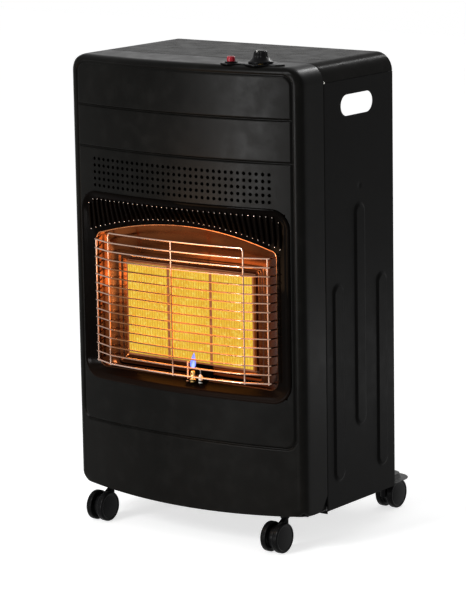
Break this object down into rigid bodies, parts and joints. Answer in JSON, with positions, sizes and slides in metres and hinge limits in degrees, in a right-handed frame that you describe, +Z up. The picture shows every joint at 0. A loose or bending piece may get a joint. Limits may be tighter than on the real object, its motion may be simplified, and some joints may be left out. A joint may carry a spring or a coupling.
{
  "type": "portable gas cabinet heater",
  "caption": "Upright gas cabinet heater: bowed front cowl over a guarded radiant burner, open-backed bottle bay, top knob and button, twin-wheel castors.",
  "frame": {"origin": "centre of the overall footprint, on the floor", "axes": "+X to the right of a viewer facing the front, +Y from the front to the open back, +Z up"},
  "size_m": [0.425, 0.357, 0.7324],
  "materials": {
    "cowl_paint": "matte charcoal powder coat",
    "cabinet_paint": "satin black paint",
    "cover_paint": "satin dark grey paint",
    "surround_enamel": "gloss black enamel",
    "guard_chrome": "bright chrome plate",
    "reflector_steel": "polished steel",
    "plain_steel": "plain galvanised sheet",
    "zinc_steel": "bright zinc plate",
    "cast_aluminium": "as cast",
    "gas_brass": "turned brass",
    "gas_copper": "drawn copper tube",
    "plaque_ceramic": "pierced ceramic, glowing orange when lit",
    "white_porcelain": "glazed porcelain",
    "black_plastic": "moulded black",
    "red_plastic": "moulded crimson"
  },
  "bodies": {
    "cabinet": {"front_cowl": "cowl_paint", "window_surround": "surround_enamel", "reflector": "reflector_steel", "wire_guard": "guard_chrome", "burner_frame": "plain_steel", "jet_rail": "gas_brass", "pilot_pipe": "gas_copper", "pilot_bracket": "plain_steel", "pilot_burner": "gas_brass", "thermocouple": "gas_copper", "ignition_electrode": "white_porcelain", "control_plate": "black_plastic", "control_bracket": "plain_steel", "control_valve": "cast_aluminium", "gas_inlet": "gas_brass", "piezo_igniter": "black_plastic", "partition": "plain_steel", "heat_deflector": "plain_steel", "side_panel_right": "cabinet_paint", "side_panel_left": "cabinet_paint", "top_cover": "cover_paint", "base_tray": "cover_paint", "front_channel": "cabinet_paint", "plaque_left": "plaque_ceramic", "burner_left": "cast_aluminium", "gas_pipe_left": "gas_copper", "plaque_centre": "plaque_ceramic", "burner_centre": "cast_aluminium", "gas_pipe_centre": "gas_copper", "plaque_right": "plaque_ceramic", "burner_right": "cast_aluminium", "gas_pipe_right": "gas_copper", "castor_front_left_stem": "zinc_steel", "castor_front_right_stem": "zinc_steel", "castor_back_left_stem": "zinc_steel", "castor_back_right_stem": "zinc_steel"},
    "valve_spindle": {"valve_spindle": "gas_brass"},
    "control_knob": {"control_knob": "black_plastic"},
    "piezo_button": {"piezo_button": "red_plastic"},
    "castor_front_left": {"castor_front_left_housing": "black_plastic", "castor_front_left_axle": "zinc_steel"},
    "castor_front_left_wheel_a": {"castor_front_left_wheel_a": "black_plastic"},
    "castor_front_left_wheel_b": {"castor_front_left_wheel_b": "black_plastic"},
    "castor_front_right": {"castor_front_right_housing": "black_plastic", "castor_front_right_axle": "zinc_steel"},
    "castor_front_right_wheel_a": {"castor_front_right_wheel_a": "black_plastic"},
    "castor_front_right_wheel_b": {"castor_front_right_wheel_b": "black_plastic"},
    "castor_back_left": {"castor_back_left_housing": "black_plastic", "castor_back_left_axle": "zinc_steel"},
    "castor_back_left_wheel_a": {"castor_back_left_wheel_a": "black_plastic"},
    "castor_back_left_wheel_b": {"castor_back_left_wheel_b": "black_plastic"},
    "castor_back_right": {"castor_back_right_housing": "black_plastic", "castor_back_right_axle": "zinc_steel"},
    "castor_back_right_wheel_a": {"castor_back_right_wheel_a": "black_plastic"},
    "castor_back_right_wheel_b": {"castor_back_right_wheel_b": "black_plastic"}
  },
  "joints": [
    {"name": "spindle_press", "type": "slide", "parent": "cabinet", "child": "valve_spindle", "axis": [0, 0, -1], "range_m": [0, 0.004], "stiffness_N_per_m": 900, "springref_m": -0.003},
    {"name": "knob_turn", "type": "hinge", "parent": "valve_spindle", "child": "control_knob", "pos_m": [0.131, -0.12545, 0.711], "axis": [0, 0, 1], "range_deg": [0, 240]},
    {"name": "button_press", "type": "slide", "parent": "cabinet", "child": "piezo_button", "axis": [0, 0, -1], "range_m": [0, 0.006], "stiffness_N_per_m": 700, "springref_m": -0.003},
    {"name": "castor_front_left_swivel", "type": "hinge", "parent": "cabinet", "child": "castor_front_left", "pos_m": [-0.163, -0.12545, 0.045], "axis": [0, 0, 1], "continuous": true},
    {"name": "castor_front_left_roll_a", "type": "hinge", "parent": "castor_front_left", "child": "castor_front_left_wheel_a", "pos_m": [-0.163, -0.14645, 0.0225], "axis": [1, 0, 0], "continuous": true},
    {"name": "castor_front_left_roll_b", "type": "hinge", "parent": "castor_front_left", "child": "castor_front_left_wheel_b", "pos_m": [-0.163, -0.14645, 0.0225], "axis": [1, 0, 0], "continuous": true},
    {"name": "castor_front_right_swivel", "type": "hinge", "parent": "cabinet", "child": "castor_front_right", "pos_m": [0.163, -0.12545, 0.045], "axis": [0, 0, 1], "continuous": true},
    {"name": "castor_front_right_roll_a", "type": "hinge", "parent": "castor_front_right", "child": "castor_front_right_wheel_a", "pos_m": [0.163, -0.14645, 0.0225], "axis": [1, 0, 0], "continuous": true},
    {"name": "castor_front_right_roll_b", "type": "hinge", "parent": "castor_front_right", "child": "castor_front_right_wheel_b", "pos_m": [0.163, -0.14645, 0.0225], "axis": [1, 0, 0], "continuous": true},
    {"name": "castor_back_left_swivel", "type": "hinge", "parent": "cabinet", "child": "castor_back_left", "pos_m": [-0.163, 0.13505, 0.045], "axis": [0, 0, 1], "continuous": true},
    {"name": "castor_back_left_roll_a", "type": "hinge", "parent": "castor_back_left", "child": "castor_back_left_wheel_a", "pos_m": [-0.163, 0.15605, 0.0225], "axis": [1, 0, 0], "continuous": true},
    {"name": "castor_back_left_roll_b", "type": "hinge", "parent": "castor_back_left", "child": "castor_back_left_wheel_b", "pos_m": [-0.163, 0.15605, 0.0225], "axis": [1, 0, 0], "continuous": true},
    {"name": "castor_back_right_swivel", "type": "hinge", "parent": "cabinet", "child": "castor_back_right", "pos_m": [0.163, 0.13505, 0.045], "axis": [0, 0, 1], "continuous": true},
    {"name": "castor_back_right_roll_a", "type": "hinge", "parent": "castor_back_right", "child": "castor_back_right_wheel_a", "pos_m": [0.163, 0.15605, 0.0225], "axis": [1, 0, 0], "continuous": true},
    {"name": "castor_back_right_roll_b", "type": "hinge", "parent": "castor_back_right", "child": "castor_back_right_wheel_b", "pos_m": [0.163, 0.15605, 0.0225], "axis": [1, 0, 0], "continuous": true}
  ]
}
